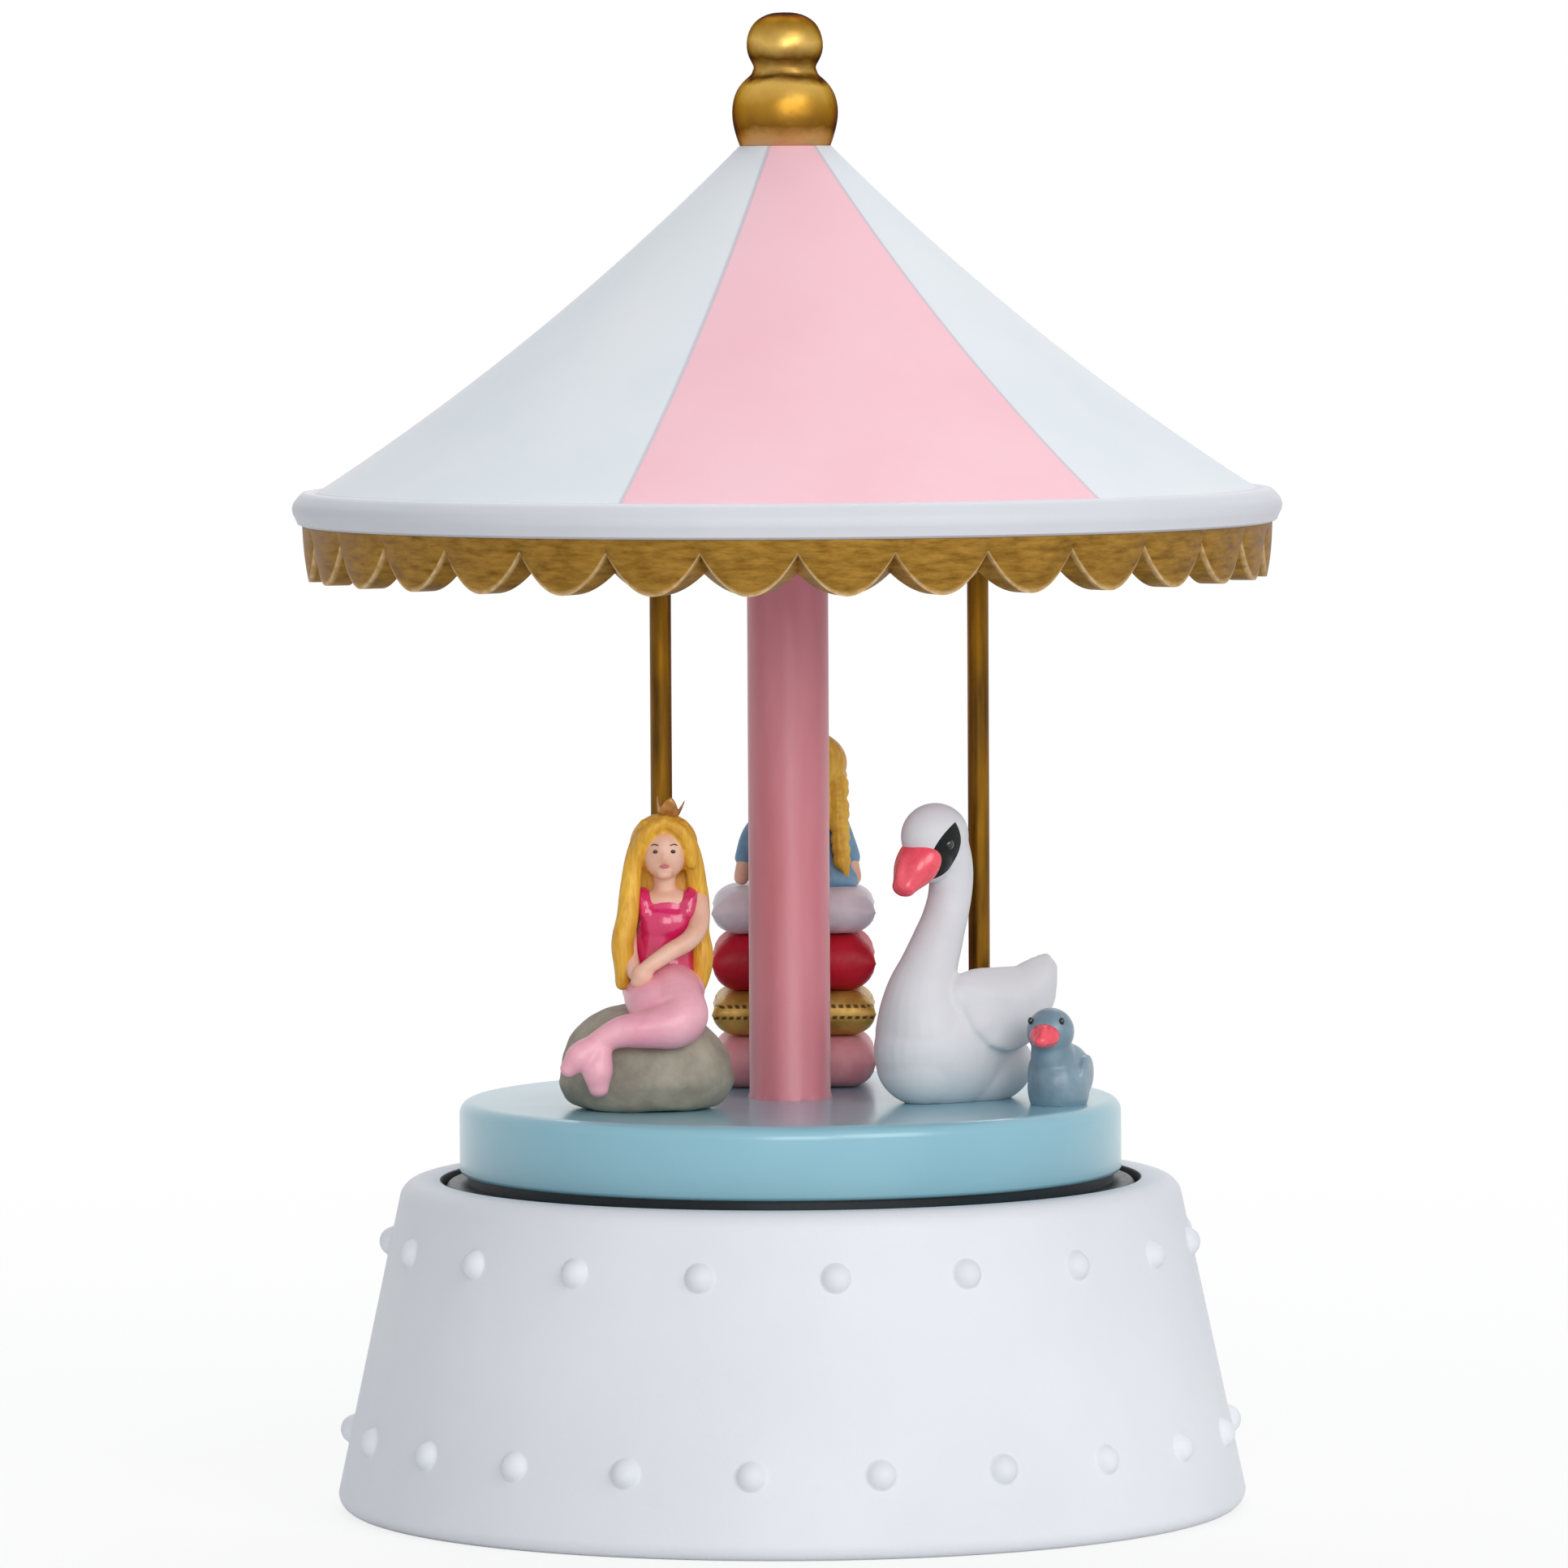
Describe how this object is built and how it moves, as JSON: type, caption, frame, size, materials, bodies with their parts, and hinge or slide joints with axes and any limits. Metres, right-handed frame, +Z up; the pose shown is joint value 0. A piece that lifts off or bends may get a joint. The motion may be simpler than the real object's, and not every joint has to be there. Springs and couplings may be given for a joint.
{
  "type": "carousel music box",
  "caption": "Wind-up carousel music box: pink and white canopy on a pole over a pale blue turntable with a mermaid, a girl on cushions and a swan with its cygnet, on a white round base.",
  "frame": {"origin": "On the turning axis, at the height of the surface the base stands on.", "axes": "+Z is up along the turning axis. The front, with the mermaid on the left and the swan on the right, faces -Y."},
  "size_m": [0.1124, 0.1124, 0.17],
  "materials": {
    "base_paint": "white painted cast resin, matte",
    "cover_board": "black moulded plastic plate",
    "steel": "plain bright steel",
    "zinc": "grey die-cast zinc, left bare",
    "brass": "drawn brass, lacquered",
    "nylon": "natural nylon",
    "drive_plastic": "near-black moulded plastic",
    "turntable_paint": "pale blue satin paint on cast resin",
    "pole_paint": "dusty pink satin paint on cast resin",
    "rock_paint": "grey-brown painted cast resin",
    "mermaid_paint": "hand-painted cast resin, skin, yellow hair, pink tail",
    "pink_paint": "pink painted cast resin",
    "gold_cushion_paint": "gold painted cast resin",
    "crimson_paint": "crimson painted cast resin",
    "lilac_paint": "pale lilac painted cast resin",
    "girl_paint": "hand-painted cast resin, blue dress, yellow hair",
    "swan_paint": "white painted cast resin, red beak",
    "cygnet_paint": "grey-blue painted cast resin, red beak",
    "canopy_paint": "pink and white painted panels on cast resin",
    "gold_paint": "gold metallic paint on cast resin"
  },
  "bodies": {
    "base": {"base_shell": "base_paint", "base_cover": "cover_board", "base_cover_screws": "steel", "bedplate": "zinc", "bedplate_screws": "steel", "tuned_comb": "steel", "comb_screws": "steel", "governor_bracket": "zinc", "bracket_screw": "steel", "ratchet_click": "steel"},
    "winder": {"winding_key": "brass", "winding_arbor": "steel", "ratchet_wheel": "steel"},
    "carousel": {"spring_barrel": "zinc", "barrel_lid": "zinc", "mainspring": "steel", "output_spindle": "steel", "spindle_nut": "steel", "drive_plate": "drive_plastic", "turntable": "turntable_paint", "turntable_screws": "steel", "center_pole": "pole_paint", "mermaid_rod": "brass", "swan_rod": "brass", "cushion_rod": "brass", "mermaid_rock": "rock_paint", "mermaid_figure": "mermaid_paint", "pink_cushion": "pink_paint", "gold_cushion": "gold_cushion_paint", "crimson_cushion": "crimson_paint", "lilac_cushion": "lilac_paint", "seated_girl": "girl_paint", "swan": "swan_paint", "cygnet": "cygnet_paint", "canopy_roof": "canopy_paint", "scalloped_valance": "gold_paint", "finial": "gold_paint", "finial_stud": "steel"},
    "cylinder": {"pinned_cylinder": "brass", "cylinder_arbor": "steel", "cylinder_pinion": "brass", "cylinder_wheel": "brass"},
    "governor_wheel": {"governor_arbor": "steel", "governor_pinion": "brass", "worm_wheel": "nylon"},
    "fan": {"worm_shaft": "steel", "governor_fan": "nylon"}
  },
  "joints": [
    {"name": "carousel_spin", "type": "hinge", "parent": "base", "child": "carousel", "pos_m": [0, 0, 0], "axis": [0, 0, 1], "continuous": true},
    {"name": "cylinder_spin", "type": "hinge", "parent": "base", "child": "cylinder", "pos_m": [0, 0, 0.0206], "axis": [1, 0, 0], "continuous": true},
    {"name": "governor_spin", "type": "hinge", "parent": "base", "child": "governor_wheel", "pos_m": [0, 0.008, 0.0206], "axis": [1, 0, 0], "continuous": true},
    {"name": "fan_spin", "type": "hinge", "parent": "base", "child": "fan", "pos_m": [0.0327, 0.01335, 0], "axis": [0, 0, 1], "continuous": true},
    {"name": "key_turn", "type": "hinge", "parent": "base", "child": "winder", "pos_m": [0, 0, 0], "axis": [0, 0, 1], "range_deg": [0, 2070]}
  ],
  "couplings": [
    {"joint": "cylinder_spin", "follows": "carousel_spin", "ratio": 4},
    {"joint": "governor_spin", "follows": "carousel_spin", "ratio": -12},
    {"joint": "fan_spin", "follows": "carousel_spin", "ratio": 108}
  ]
}
